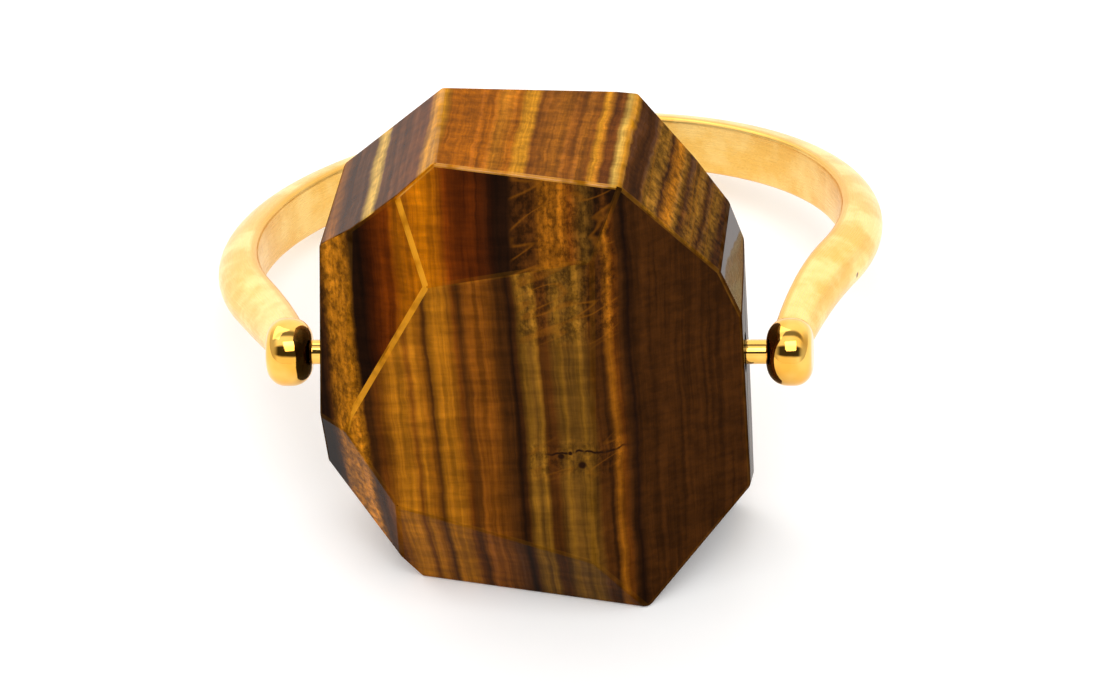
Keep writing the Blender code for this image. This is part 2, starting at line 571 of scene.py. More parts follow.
# The stone's grain, from stripes to clouds: whether it follows the bands, its fineness
# across, back and up, its noise, and how dark and how light it makes the bands
Grain = namedtuple("Grain", "name banded fineness detail rough dark light")
GRAINS = (
    Grain("stripes", True, (5.5, 0.12, 0.14), 4.0, 0.65, 0.66, 1.34),
    Grain("fibres", False, (0.6, 3.6, 3.8), 4.0, 0.60, 0.78, 1.22),
    Grain("threads", True, (2.2, 0.9, 1.1), 3.0, 0.60, 0.86, 1.14),
    Grain("clouds", False, (0.5, 0.4, 0.35), 2.0, 0.50, 0.88, 1.12),
)
SPECK_DARK = 0.25
SPECK_LIGHT = 1.75
VEIN_WIDTH = 0.03
VEIN_STRENGTH = 0.4
SILK = 0.2
FIBRE_ROUGHNESS = 0.42
POLISH_ROUGHNESS = 0.03
POLISH_IOR = 1.5
EDGE_WEAR = 0.8
FLAW_DEPTH = 1.2

# The gold's darker tones, as shares of its own red, green and blue. The deep satin tone also paints
# shade on the band's inner side, and the satin edge tone paints shade along its rounded inner edges.
SATIN_DEEP = (0.88, 0.72, 0.44)
SATIN_EDGE_SHADE = (0.80, 0.58, 0.30)
POLISHED_WARM = (0.96, 0.80, 0.50)
POLISHED_DEEP = (0.90, 0.62, 0.24)
PIT_TONE = srgb(120, 74, 22)
PIT_DEPTH = 3.0

# The soft lights: each one's direction from the pins, its distance, size and power
Lamp = namedtuple("Lamp", "name across back up distance size power")
LAMPS = (
    Lamp("key_light", -0.6, 0.45, 0.75, 0.55, 0.45, 0.8),
    Lamp("top_light", 0.08, -0.48, 0.86, 0.50, 0.30, 0.9),
)
FLOOR_REACH = 1.5
FLOOR_SQUARES = 8
FLOOR_ROUGHNESS = 0.9
FLOOR_SHINE = 0.1
FLOOR_GLOW = 0.14

# Fineness
LOOP_STEPS = 168
ARM_STEPS = 30
DOME_STEPS = 28
CORNER_STEPS = 5
BARREL_SIDES = 96
PIN_SIDES = 56
ROUNDING_STEPS = 10
MOST_STOPS = 32
SAME_POINT = 1e-7
BLANK_SIZE = 0.03

# Corners sharper than these stay sharp
BAND_CORNER = radians(50)
TURNED_CORNER = radians(40)
STONE_CORNER = radians(60)

# The back of the loop, which shows the shank's direction, lies beyond this
LOOP_BACK = 0.009


def stone_matrix():
    """The stone's own frame: X along the pins, Y towards its back, Z up its face."""
    areas = {}
    for polygon in frame["nodes"]["stone"].data.polygons:
        key = tuple(round(value, 3) for value in polygon.normal)
        areas[key] = areas.get(key, 0.0) + polygon.area
    back = Vector(max(areas, key=areas.get))
    back = (back - back.dot(PIN_AXIS) * PIN_AXIS).normalized()
    if back.y < 0:
        back = -back
    return axes_matrix(PIN_AXIS, back)


def shank_matrix():
    """The shank's own frame: X along the pins, Y towards the back of the loop."""
    far = [
        vertex.co - PIN_CENTRE
        for vertex in frame["nodes"]["shank"].data.vertices
        if vertex.co.y > LOOP_BACK
    ]
    middle = sum(far, Vector()) / len(far)
    back = (middle - middle.dot(PIN_AXIS) * PIN_AXIS).normalized()
    return axes_matrix(PIN_AXIS, back)


def axes_matrix(across, back):
    up = across.cross(back)
    turn = Matrix((across, back, up)).transposed().to_4x4()
    return Matrix.Translation(PIN_CENTRE) @ turn


def new_piece(name, mesh, matrix, body, slot, *nodes):
    """A shown object that stands for CAD nodes and rides on their body; its slot is not used.

    The mesh keeps each point's place in the piece's own frame, in mm, for its material.
    """
    own = mesh.attributes.new("own_place", "FLOAT_VECTOR", "POINT")
    own.data.foreach_set("vector", [value / MM for vertex in mesh.vertices for value in vertex.co])
    mesh.transform(matrix)
    piece = bpy.data.objects.new(name, mesh)
    bpy.context.scene.collection.objects.link(piece)
    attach(piece, body)
    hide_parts(*nodes)
    return piece


def mesh_from(work, name):
    bmesh.ops.recalc_face_normals(work, faces=work.faces)
    mesh = bpy.data.meshes.new(name)
    work.to_mesh(mesh)
    work.free()
    return mesh


def soft_corners(mesh, angle):
    mesh.shade_smooth()
    mesh.set_sharp_from_angle(angle=angle)


class MaterialMaker:
    """Places and joins a material's nodes, a column at a time."""

    def __init__(self, tree):
        self.tree = tree
        self.column = 0

    def add(self, kind, **values):
        """A new node with values for its own settings."""
        node = self.tree.nodes.new(kind)
        self.column += 1
        node.location = (self.column * 190, -(self.column % 4) * 170)
        for name, value in values.items():
            setattr(node, name, value)
        return node

    def join(self, source, target):
        self.tree.links.new(source, target)

    def fill(self, socket, value):
        """Links a socket, or sets its number."""
        if isinstance(value, bpy.types.NodeSocket):
            self.join(value, socket)
        else:
            socket.default_value = value

    def math(self, operation, first, second=0.0, third=0.0):
        node = self.add("ShaderNodeMath", operation=operation)
        for socket, value in zip(node.inputs, (first, second, third)):
            self.fill(socket, value)
        return node.outputs[0]

    def ramp(self, factor, low, high, to_low=0.0, to_high=1.0):
        """A smooth step of the factor between two values."""
        node = self.add("ShaderNodeMapRange", interpolation_type="SMOOTHSTEP")
        for socket, value in zip(node.inputs, (factor, low, high, to_low, to_high)):
            self.fill(socket, value)
        return node.outputs[0]

    def mix(self, factor, first, second, blend="MIX"):
        node = self.add("ShaderNodeMix", data_type="RGBA", blend_type=blend)
        self.fill(node.inputs[0], factor)
        self.fill(node.inputs[6], first)
        self.fill(node.inputs[7], second)
        return node.outputs[2]

    def grey(self, value):
        node = self.add("ShaderNodeCombineColor")
        for socket in node.inputs:
            self.join(value, socket)
        return node.outputs[0]

    def noise(self, vector, scale, detail=2.0, rough=0.5):
        node = self.add("ShaderNodeTexNoise")
        node.inputs["Scale"].default_value = scale
        node.inputs["Detail"].default_value = detail
        node.inputs["Roughness"].default_value = rough
        self.join(vector, node.inputs["Vector"])
        return node.outputs[0]

    def stretch(self, vector, scale):
        node = self.add("ShaderNodeVectorMath", operation="MULTIPLY")
        self.join(vector, node.inputs[0])
        node.inputs[1].default_value = scale
        return node.outputs[0]

    def grain(self, vector, fineness, detail=2.0, rough=0.5):
        """Noise with its own fineness across, back and up."""
        return self.noise(self.stretch(vector, fineness), 1.0, detail, rough)

    def place_mm(self):
        """The point in the piece's own frame, in mm."""
        return self.add("ShaderNodeAttribute", attribute_name="own_place").outputs["Vector"]

    def split(self, vector):
        node = self.add("ShaderNodeSeparateXYZ")
        self.join(vector, node.inputs[0])
        return node.outputs[0], node.outputs[1], node.outputs[2]

    def near(self, vector, point, radius):
        """1 at a point in mm, falling to 0 at the radius."""
        node = self.add("ShaderNodeVectorMath", operation="DISTANCE")
        self.join(vector, node.inputs[0])
        node.inputs[1].default_value = point
        return self.ramp(node.outputs["Value"], radius, radius * 0.45)

    def colours(self, factor, stops):
        """A colour ramp with stops given as (place from 0 to 1, colour)."""
        node = self.add("ShaderNodeValToRGB")
        elements = node.color_ramp.elements
        while len(elements) < len(stops):
            elements.new(1.0)
        for element, (place, colour) in zip(elements, stops):
            element.position = place
            element.color = (*colour, 1.0)
        self.join(factor, node.inputs[0])
        return node.outputs["Color"]

    def bump(self, height, strength, distance):
        node = self.add("ShaderNodeBump")
        node.inputs["Strength"].default_value = strength
        node.inputs["Distance"].default_value = distance
        self.join(height, node.inputs["Height"])
        return node.outputs["Normal"]


def new_material(name):
    """A material with an empty node tree, its maker and its Principled shader."""
    material = bpy.data.materials.new(name)
    material.use_nodes = True
    tree = material.node_tree
    shader = tree.nodes["Principled BSDF"]
    tree.nodes["Material Output"].location = (5200, 0)
    shader.location = (4900, 0)
    return material, MaterialMaker(tree), shader


def group_sockets(tree, inputs, outputs):
    for name, kind, value in inputs:
        socket = tree.interface.new_socket(name=name, in_out="INPUT", socket_type=kind)
        socket.default_value = value
    for name, kind in outputs:
        tree.interface.new_socket(name=name, in_out="OUTPUT", socket_type=kind)


def polish_marks_group():
    """Fine scratches and soft unevenness of polished metal, as a height and a mask."""
    name = "polish_marks"
    if name in bpy.data.node_groups:
        return bpy.data.node_groups[name]
    tree = bpy.data.node_groups.new(name, "ShaderNodeTree")
    group_sockets(
        tree,
        (
            ("Place", "NodeSocketVector", (0.0, 0.0, 0.0)),
            ("Scratches", "NodeSocketFloat", 0.5),
            ("Unevenness", "NodeSocketFloat", 0.5),
        ),
        (("Height", "NodeSocketFloat"), ("Mask", "NodeSocketFloat")),
    )
    make = MaterialMaker(tree)
    start = make.add("NodeGroupInput")
    end = make.add("NodeGroupOutput")
    place = start.outputs["Place"]
    streaks = make.noise(make.stretch(place, (0.35, 9.0, 9.0)), 2.2, 3.0, 0.6)
    waves = make.noise(place, 0.8, 2.0)
    grains = make.noise(place, 14.0, 2.0)
    scratched = make.math("MULTIPLY", streaks, start.outputs["Scratches"])
    uneven = make.math("MULTIPLY", waves, start.outputs["Unevenness"])
    height = make.math("ADD", scratched, uneven)
    make.join(make.math("MULTIPLY_ADD", grains, 0.08, height), end.inputs["Height"])
    make.join(make.ramp(streaks, 0.42, 0.66), end.inputs["Mask"])
    return tree


def place_group(make, tree, **values):
    node = make.add("ShaderNodeGroup", node_tree=tree)
    for name, value in values.items():
        make.fill(node.inputs[name.title()], value)
    return node


def tinted(colour, shares):
    return (*(value * share for value, share in zip(colour, shares)), 1.0)


def satin_gold(colour):
    """Softly brushed gold of the band, with the tiny pits that its casting left, and painted shade on
    its inner side and along its rounded inner edges.
    """
    material, make, shader = new_material("satin_gold")
    wire = make.add("ShaderNodeAttribute", attribute_name="wire_place")
    place = make.place_mm()
    marks = place_group(
        make,
        polish_marks_group(),
        place=wire.outputs["Vector"],
        scratches=0.45,
        unevenness=0.9,
    )
    pitted = 0.0
    for pit in GOLD_PITS:
        spot = make.near(place, (pit.across, pit.back, pit.up), pit.radius)
        pitted = make.math("MAXIMUM", spot, pitted)
    deep = tinted(colour, SATIN_DEEP)
    tone = make.ramp(make.noise(place, 0.7, 4.0, 0.6), 0.36, 0.62)
    gold = make.mix(tone, (*colour, 1.0), deep)
    outward = make.split(wire.outputs["Vector"])[1]
    # Painted shade: the inner side of the wire is darker, and the worn mask paints a darker line along
    # its rounded inner edges
    inside = make.ramp(outward, 0.10, 0.02)
    worn = make.math("MULTIPLY", make.ramp(outward, 0.30, 0.14), make.ramp(outward, 0.0, 0.05))
    gold = make.mix(make.math("MULTIPLY", inside, 0.35), gold, deep)
    gold = make.mix(make.math("MULTIPLY", worn, 0.8), gold, tinted(colour, SATIN_EDGE_SHADE))
    make.join(make.mix(pitted, gold, (*PIT_TONE, 1.0)), shader.inputs["Base Color"])
    shader.inputs["Metallic"].default_value = 1.0
    rough = make.math("MULTIPLY_ADD", marks.outputs["Mask"], 0.08, 0.26)
    make.join(rough, shader.inputs["Roughness"])
    height = make.math("MULTIPLY_ADD", pitted, -PIT_DEPTH, marks.outputs["Height"])
    make.join(make.bump(height, 0.35, 0.02 * MM), shader.inputs["Normal"])
    return material


def polished_gold(colour):
    """Mirror-polished gold of the barrels and pins."""
    material, make, shader = new_material("polished_gold")
    place = make.place_mm()
    marks = place_group(
        make, polish_marks_group(), place=place, scratches=0.12, unevenness=0.5
    )
    warm = tinted(colour, POLISHED_WARM)
    deep = tinted(colour, POLISHED_DEEP)
    tone = make.ramp(make.noise(place, 1.2, 2.0), 0.3, 0.7)
    make.join(make.mix(tone, warm, deep), shader.inputs["Base Color"])
    shader.inputs["Metallic"].default_value = 1.0
    rough = make.math("MULTIPLY_ADD", marks.outputs["Mask"], 0.03, 0.05)
    make.join(rough, shader.inputs["Roughness"])
    make.join(make.bump(marks.outputs["Height"], 0.2, 0.01 * MM), shader.inputs["Normal"])
    return material


def band_place(make, place, settings):
    """How far across the bands a point lies, in mm, with the bands' natural waver."""
    across, back, up = make.split(place)
    above = make.math("SUBTRACT", up, BAND_LEVEL)
    slope = make.math("MULTIPLY_ADD", across, -settings.fan, settings.lean)
    leaning = make.math("MULTIPLY_ADD", above, slope, across)
    behind = make.math("ADD", back, FACE_DEPTH)
    skewed = make.math("MULTIPLY_ADD", behind, -settings.skew, leaning)
    slow = make.grain(place, (0.3, 0.4, 0.35), 1.0)
    quick = make.grain(place, (1.5, 2.4, 2.0), 3.0)
    wavering = make.math("MULTIPLY_ADD", make.math("SUBTRACT", slow, 0.5), SLOW_WAVER, skewed)
    return make.math("MULTIPLY_ADD", make.math("SUBTRACT", quick, 0.5), QUICK_WAVER, wavering)


def banded_colour(make, banding, bands):
    """The bands' colours, from as many colour ramps as their number needs."""
    colour = None
    for start in range(0, len(bands) - 1, MOST_STOPS - 1):
        part = bands[start : start + MOST_STOPS]
        first = part[0].across
        span = part[-1].across - first
        share = make.math("DIVIDE", make.math("SUBTRACT", banding, first), span)
        ramp = make.colours(share, [((band.across - first) / span, TONES[band.tone]) for band in part])
        if colour is None:
            colour = ramp
        else:
            colour = make.mix(make.math("GREATER_THAN", banding, first), colour, ramp)
    return colour


def speckle_mask(make, banding, up, top):
    """Where the fibres are broken, from 0 to 1."""
    mask = 0.0
    for row in SPECKLES:
        sides = (
            make.ramp(banding, row.first - 0.1, row.first + 0.1),
            make.ramp(banding, row.last + 0.1, row.last - 0.1),
            make.ramp(up, row.low - 0.5, row.low + 0.5),
            make.ramp(up, row.high + 0.5, row.high - 0.5),
        )
        inside = top if row.side == "top" else make.math("SUBTRACT", 1.0, top)
        for side in sides:
            inside = make.math("MULTIPLY", inside, side)
        mask = make.math("MAXIMUM", make.math("MULTIPLY", inside, row.strength), mask)
    return mask


def stone_flaws(make, place):
    """A mask of the small pits and the hairline crack on the front."""
    across, back, up = make.split(place)
    front = make.ramp(back, -2.2, -2.7)
    flat = make.stretch(place, (1.0, 0.0, 1.0))
    mask = 0.0
    for pit in STONE_PITS:
        spot = make.near(flat, (pit.across, 0.0, pit.up), pit.radius)
        mask = make.math("MAXIMUM", spot, mask)
    waver = make.grain(place, (1.1, 0.0, 0.0), 3.0)
    off = make.math("SUBTRACT", up, make.math("MULTIPLY_ADD", waver, 0.7, CRACK_UP - 0.35))
    line = make.ramp(make.math("ABSOLUTE", off), 0.06, 0.01)
    inside = make.math(
        "MULTIPLY",
        make.ramp(across, CRACK_SPAN[0], CRACK_SPAN[0] + 0.5),
        make.ramp(across, CRACK_SPAN[1], CRACK_SPAN[1] - 0.5),
    )
    broken = make.ramp(make.grain(place, (2.2, 0.0, 0.0)), 0.38, 0.5)
    crack = make.math("MULTIPLY", make.math("MULTIPLY", line, inside), broken)
    return make.math("MULTIPLY", make.math("MAXIMUM", mask, crack), front)


def tiger_eye(settings):
    """Banded tiger's eye: silky fibres across straight bands, under a clear polish."""
    material, make, shader = new_material("tiger_eye_bands")
    place = make.place_mm()
    across, back, up = make.split(place)
    banding = band_place(make, place, settings)
    look = make.add("ShaderNodeAttribute", attribute_name="facet_look").outputs["Vector"]
    upper, top, glow = make.split(look)
    gloss_and_highlight = make.add("ShaderNodeAttribute", attribute_name="facet_finish").outputs["Vector"]
    gloss, golden, edge = make.split(gloss_and_highlight)

    colour = banded_colour(make, banding, FRONT_BANDS)
    colour = make.mix(upper, colour, banded_colour(make, banding, UPPER_BANDS))
    colour = make.mix(top, colour, banded_colour(make, banding, TOP_BANDS))

    along = make.add("ShaderNodeCombineXYZ")
    for socket, value in zip(along.inputs, (banding, back, up)):
        make.join(value, socket)
    banded_place = along.outputs[0]
    noises = {}
    shade = 1.0
    for row in GRAINS:
        where = banded_place if row.banded else place
        noises[row.name] = make.grain(where, row.fineness, row.detail, row.rough)
        level = make.ramp(noises[row.name], 0.30, 0.70, row.dark, row.light)
        shade = make.math("MULTIPLY", level, shade)
    # Painted light and shade: each facet is made lighter or darker by the way it faces
    shade = make.math("MULTIPLY", shade, glow)
    shade = make.math("MULTIPLY", shade, settings.lift)
    speckled = speckle_mask(make, banding, up, top)
    grit = make.grain(banded_place, (5.5, 4.2, 3.6), 3.0, 0.7)
    gritty = make.math("SUBTRACT", make.ramp(grit, 0.34, 0.66, SPECK_DARK, SPECK_LIGHT), 1.0)
    shade = make.math("MULTIPLY", shade, make.math("MULTIPLY_ADD", gritty, speckled, 1.0))
    colour = make.mix(1.0, colour, make.grey(shade), "MULTIPLY")
    rising = make.add("ShaderNodeCombineXYZ")
    make.join(make.math("MULTIPLY", across, 0.3), rising.inputs[0])
    make.join(make.math("MULTIPLY_ADD", across, -0.45, up), rising.inputs[2])
    veins = make.grain(rising.outputs[0], (1.0, 1.0, 1.3), 1.0)
    vein = make.ramp(make.math("ABSOLUTE", make.math("SUBTRACT", veins, 0.5)), VEIN_WIDTH, 0.0)
    vein = make.math("MULTIPLY", vein, make.math("MULTIPLY", speckled, VEIN_STRENGTH))
    vein = make.math("MULTIPLY", vein, make.ramp(banding, -1.0, 0.0))
    colour = make.mix(vein, colour, (*TONES["honey"], 1.0))

    # Painted highlight: the soft edges are painted gold, broken into dashes by a noise that also wears
    # their polish away
    edge_wear_and_highlight_gaps = make.ramp(make.grain(place, (1.8, 1.8, 1.8), 2.0), 0.3, 0.6)
    lit = make.math("MULTIPLY", golden, make.math("MULTIPLY_ADD", edge_wear_and_highlight_gaps, 0.65, 0.35))
    colour = make.mix(lit, colour, (*TONES["gold"], 1.0))
    flaws = stone_flaws(make, place)
    colour = make.mix(flaws, colour, (*TONES["black"], 1.0))
    make.join(colour, shader.inputs["Base Color"])

    silk = make.ramp(noises["stripes"], 0.5, 0.75, 0.0, SILK)
    make.join(silk, shader.inputs["Metallic"])
    shader.inputs["Roughness"].default_value = FIBRE_ROUGHNESS
    shader.inputs["Specular IOR Level"].default_value = 0.0
    worn = make.math("MULTIPLY_ADD", edge_wear_and_highlight_gaps, -EDGE_WEAR, 1.0)
    kept = make.math("MULTIPLY_ADD", make.math("MULTIPLY", edge, worn), -1.0, 1.0)
    make.join(make.math("MULTIPLY", gloss, kept), shader.inputs["Coat Weight"])
    shader.inputs["Coat Roughness"].default_value = POLISH_ROUGHNESS
    shader.inputs["Coat IOR"].default_value = POLISH_IOR
    ripple = make.grain(place, (0.5, 0.5, 0.5), 2.0)
    height = make.math("MULTIPLY_ADD", flaws, -FLAW_DEPTH, ripple)
    bumped = make.bump(height, 0.25, 0.03 * MM)
    make.join(bumped, shader.inputs["Normal"])
    make.join(bumped, shader.inputs["Coat Normal"])
    return material


def half_round_outline(settings):
    """The wire's section as (outward, up): flat inside and domed outside."""
    half = settings.wire_width / 2
    edge = settings.edge_radius
    dome = settings.wire_thickness - edge
    corner = [pi / 2 * step / CORNER_STEPS for step in range(CORNER_STEPS + 1)]
    points = [(edge * (1 - cos(turn)), -half + edge * (1 - sin(turn))) for turn in corner]
    for step in range(1, DOME_STEPS):
        turn = -pi / 2 + pi * step / DOME_STEPS
        points.append((edge + dome * cos(turn), half * sin(turn)))
    points += [(outward, -up) for outward, up in reversed(points[: CORNER_STEPS + 1])]
    return points


def band_path(settings, barrels, stone_width):
    """The middle line of the band's inside, in the shank's frame.

    Each point comes with the wire's size there, as a share of its full size.
    """
    radius = settings.finger_width / 2
    overrun = settings.overrun
    taper = settings.arm_taper
    turned = Matrix.Rotation(settings.skew, 4, "Z") @ Matrix.Rotation(-settings.twist, 4, "Y")
    centre = Vector((0, settings.loop_depth, 0))
    face = stone_width / 2 + barrels.gap
    arm_end = face + (barrels.length - taper * settings.wire_thickness) / 2

    def on_loop(angle):
        return turned @ (centre + radius * Vector((cos(angle), sin(angle), 0)))

    def arm(side):
        angle = -overrun if side > 0 else pi + overrun
        tangent = turned @ Vector((sin(angle) * side, -cos(angle) * side, 0))
        foot = Vector((side * arm_end, settings.arm_seat, 0))
        shoulder = on_loop(angle)
        knee = shoulder + settings.arm_pull * tangent
        points = []
        for step in range(ARM_STEPS):
            t = step / ARM_STEPS
            point = foot * (1 - t) ** 2 + knee * 2 * t * (1 - t) + shoulder * t * t
            points.append((point, taper + (1 - taper) * t * (2 - t)))
        return points

    sweep = pi + 2 * overrun
    turns = [-overrun + sweep * step / LOOP_STEPS for step in range(LOOP_STEPS + 1)]
    return arm(1) + [(on_loop(angle), 1.0) for angle in turns] + arm(-1)[::-1]


def sweep_wire(name, path, outline):
    """The outline carried along the path, with how far along and round each point is."""
    work = bmesh.new()
    layer = work.verts.layers.float_vector.new("wire_place")
    rows = []
    length = 0.0
    for index, (point, size) in enumerate(path):
        before = path[max(index - 1, 0)][0]
        after = path[min(index + 1, len(path) - 1)][0]
        length += (point - before).length
        tangent = (after - before).normalized()
        outward = tangent.cross(Vector((0, 0, 1))).normalized()
        lift = outward.cross(tangent)
        row = []
        for out, up in outline:
            vertex = work.verts.new(point + (outward * out + lift * up) * size)
            vertex[layer] = (length / MM, out / MM, up / MM)
            row.append(vertex)
        rows.append(row)
    for row, following in zip(rows, rows[1:]):
        for step in range(len(row)):
            beside = (step + 1) % len(row)
            work.faces.new((row[step], row[beside], following[beside], following[step]))
    work.faces.new(rows[0])
    work.faces.new(rows[-1])
    return mesh_from(work, name)


def turned_profile(start, end, radius, start_rounding, end_rounding):
    """Half the outline of a bar with two rounded rims, as (along, radius)."""
    points = [(start, 0.0)]
    for step in range(ROUNDING_STEPS + 1):
        turn = pi / 2 * step / ROUNDING_STEPS
        along = start + start_rounding * (1 - cos(turn))
        points.append((along, radius - start_rounding * (1 - sin(turn))))
    for step in range(ROUNDING_STEPS + 1):
        turn = pi / 2 * (1 - step / ROUNDING_STEPS)
        along = end - end_rounding * (1 - cos(turn))
        points.append((along, radius - end_rounding * (1 - sin(turn))))
    points.append((end, 0.0))
    return points


def turn_about_pins(name, profile, sides, side=1):
    """A solid turned about the pins' line from (along, radius) points."""
    work = bmesh.new()
    verts = [work.verts.new((side * along, 0.0, radius)) for along, radius in profile]
    edges = [work.edges.new(pair) for pair in zip(verts, verts[1:])]
    bmesh.ops.spin(
        work,
        geom=verts + edges,
        cent=(0, 0, 0),
        axis=(1, 0, 0),
        angle=2 * pi,
        steps=sides,
        use_merge=True,
    )
    bmesh.ops.remove_doubles(work, verts=work.verts, dist=SAME_POINT)
    return mesh_from(work, name)


def facet_planes(matrix):
    """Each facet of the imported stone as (point, normal) in the stone's own frame."""
    to_local = matrix.inverted()
    planes = {}
    for polygon in frame["nodes"]["stone"].data.polygons:
        point = to_local @ polygon.center
        normal = (to_local.to_3x3() @ polygon.normal).normalized()
        reach = point.dot(normal)
        key = tuple(round(value, 2) for value in normal)
        if reach > MM and (key not in planes or polygon.area > planes[key][2]):
            planes[key] = (normal * reach, normal, polygon.area)
    return [(point, normal) for point, normal, _ in planes.values()]


def cut_facets(work, planes):
    for point, normal in planes:
        cut = bmesh.ops.bisect_plane(
            work,
            geom=work.verts[:] + work.edges[:] + work.faces[:],
            dist=SAME_POINT,
            plane_co=point,
            plane_no=normal,
            clear_outer=True,
        )
        rim = [item for item in cut["geom_cut"] if isinstance(item, bmesh.types.BMEdge)]
        if rim:
            bmesh.ops.edgeloop_fill(work, edges=rim)


def facet_directions(settings):
    """The direction of each facet in the table, in the stone's own frame.

    Rounding it settles which facet a strip that faces midway between two looks like.
    """
    sizes = (settings.width, settings.thickness, settings.height)
    directions = {}
    for row in FACET_LOOKS:
        slope = Vector(
            part / size for part, size in zip((row.across, -row.out, row.up), sizes)
        ).normalized()
        directions[row.name] = Vector(round(value, 2) for value in slope).normalized()
    return directions


def edge_look(facets, normal):
    """The look of the soft edge whose turn from facet to facet passes this direction."""
    for row in EDGE_LOOKS:
        one, other = facets[row.one], facets[row.other]
        detour = one.angle(normal) + normal.angle(other) - one.angle(other)
        if detour < EDGE_TOLERANCE:
            return row
    return PLAIN_EDGE


def mark_looks(work, facets, looks, glosses_and_highlights, rims):
    """Gives each face its facet's look and gloss, and each soft edge its painted highlight and polish.
    """
    for face in work.faces:
        normal = face.normal
        row = max(FACET_LOOKS, key=lambda look: facets[look.name].dot(normal))
        face[looks] = Vector((row.upper, row.top, row.glow))
        if face in rims:
            edge = edge_look(facets, normal)
            face[glosses_and_highlights] = Vector((edge.gloss, edge.golden, 1.0))
        else:
            face[glosses_and_highlights] = Vector((row.gloss, 0.0, 0.0))


def cut_stone(settings, matrix):
    """The stone with soft rims between its facets, each face marked with its look."""
    work = bmesh.new()
    looks = work.faces.layers.float_vector.new("facet_look")
    glosses_and_highlights = work.faces.layers.float_vector.new("facet_finish")
    bmesh.ops.create_cube(work, size=BLANK_SIZE)
    cut_facets(work, facet_planes(matrix))
    bmesh.ops.remove_doubles(work, verts=work.verts, dist=settings.shortest_edge)
    bevel = bmesh.ops.bevel(
        work,
        geom=work.edges[:],
        offset=settings.rim,
        segments=settings.rim_steps,
        profile=0.5,
        affect="EDGES",
        clamp_overlap=True,
    )
    bmesh.ops.recalc_face_normals(work, faces=work.faces)
    mark_looks(work, facet_directions(settings), looks, glosses_and_highlights, set(bevel["faces"]))
    return mesh_from(work, "stone_cut")


def drill(mesh, settings):
    """The bore through the stone, its mouths a little worn."""
    half = settings.width / 2
    radius = settings.bore_diameter / 2
    flare = settings.bore_flare
    profile = [
        (-2 * half, 0.0),
        (-2 * half, radius + flare),
        (-half, radius + flare),
        (-half + 2 * flare, radius),
        (half - 2 * flare, radius),
        (half, radius + flare),
        (2 * half, radius + flare),
        (2 * half, 0.0),
    ]
    stone = bpy.data.objects.new("undrilled", mesh)
    drill_bit = bpy.data.objects.new("drill", turn_about_pins("drill", profile, PIN_SIDES))
    for item in (stone, drill_bit):
        bpy.context.scene.collection.objects.link(item)
    cut = stone.modifiers.new("bore", "BOOLEAN")
    cut.operation = "DIFFERENCE"
    cut.object = drill_bit
    smooth = stone.modifiers.new("flat_facets", "WEIGHTED_NORMAL")
    smooth.keep_sharp = True
    smooth.weight = 100
    bpy.context.view_layer.update()
    evaluated = stone.evaluated_get(bpy.context.evaluated_depsgraph_get())
    drilled = bpy.data.meshes.new_from_object(evaluated)
    for item in (stone, drill_bit):
        bpy.data.objects.remove(item, do_unlink=True)
    drilled.name = "tiger_eye_stone"
    return drilled


class RING_OT_make_band(bpy.types.Operator):
    """Draw the half-round band with its two arms"""

    bl_idname = "swivel_ring.make_band"
    bl_label = "Make Band"

    def execute(self, context):
        settings = context.scene.ring_band
        path = band_path(settings, context.scene.ring_barrels, context.scene.ring_stone.width)
        mesh = sweep_wire("band", path, half_round_outline(settings))
        soft_corners(mesh, BAND_CORNER)
        mesh.materials.append(satin_gold(settings.colour))
        new_piece("band", mesh, shank_matrix(), "shank", "gold", "shank")
        return {"FINISHED"}


class RING_OT_make_barrels(bpy.types.Operator):
    """Turn the polished barrel at each end of the band, and its pin"""

    bl_idname = "swivel_ring.make_barrels"
    bl_label = "Make Barrels and Pins"

    def execute(self, context):
        settings = context.scene.ring_barrels
        face = context.scene.ring_stone.width / 2 + settings.gap
        barrel = turned_profile(
            face,
            face + settings.length,
            settings.diameter / 2,
            settings.inner_rounding,
            settings.outer_rounding,
        )
        pin = turned_profile(
            face - settings.gap - settings.pin_reach,
            face + settings.length / 2,
            settings.pin_diameter / 2,
            settings.pin_rounding,
            settings.pin_rounding,
        )
        gold = polished_gold(context.scene.ring_band.colour)
        for word, side in (("right", 1), ("left", -1)):
            for part, profile, sides in (("barrel", barrel, BARREL_SIDES), ("pin", pin, PIN_SIDES)):
                mesh = turn_about_pins(f"{word}_{part}", profile, sides, side)
                soft_corners(mesh, TURNED_CORNER)
                mesh.materials.append(gold)
                new_piece(mesh.name, mesh, shank_matrix(), "shank", "gold", "shank")
        return {"FINISHED"}


class RING_OT_make_stone(bpy.types.Operator):
    """Cut, drill and polish the stone"""

    bl_idname = "swivel_ring.make_stone"
    bl_label = "Make Stone"

    def execute(self, context):
        settings = context.scene.ring_stone
        matrix = stone_matrix()
        mesh = cut_stone(settings, matrix)
        soft_corners(mesh, STONE_CORNER)
        mesh = drill(mesh, settings)
        mesh.materials.append(tiger_eye(settings))
        new_piece("cut_stone", mesh, matrix, "stone", "tiger_eye", "stone")
        return {"FINISHED"}


def floor_material(colour):
    material, _, shader = new_material("pale_floor")
    shader.inputs["Base Color"].default_value = (*colour, 1.0)
    shader.inputs["Roughness"].default_value = FLOOR_ROUGHNESS
    shader.inputs["Specular IOR Level"].default_value = FLOOR_SHINE
    shader.inputs["Emission Color"].default_value = (1.0, 1.0, 1.0, 1.0)
    shader.inputs["Emission Strength"].default_value = FLOOR_GLOW
    return material


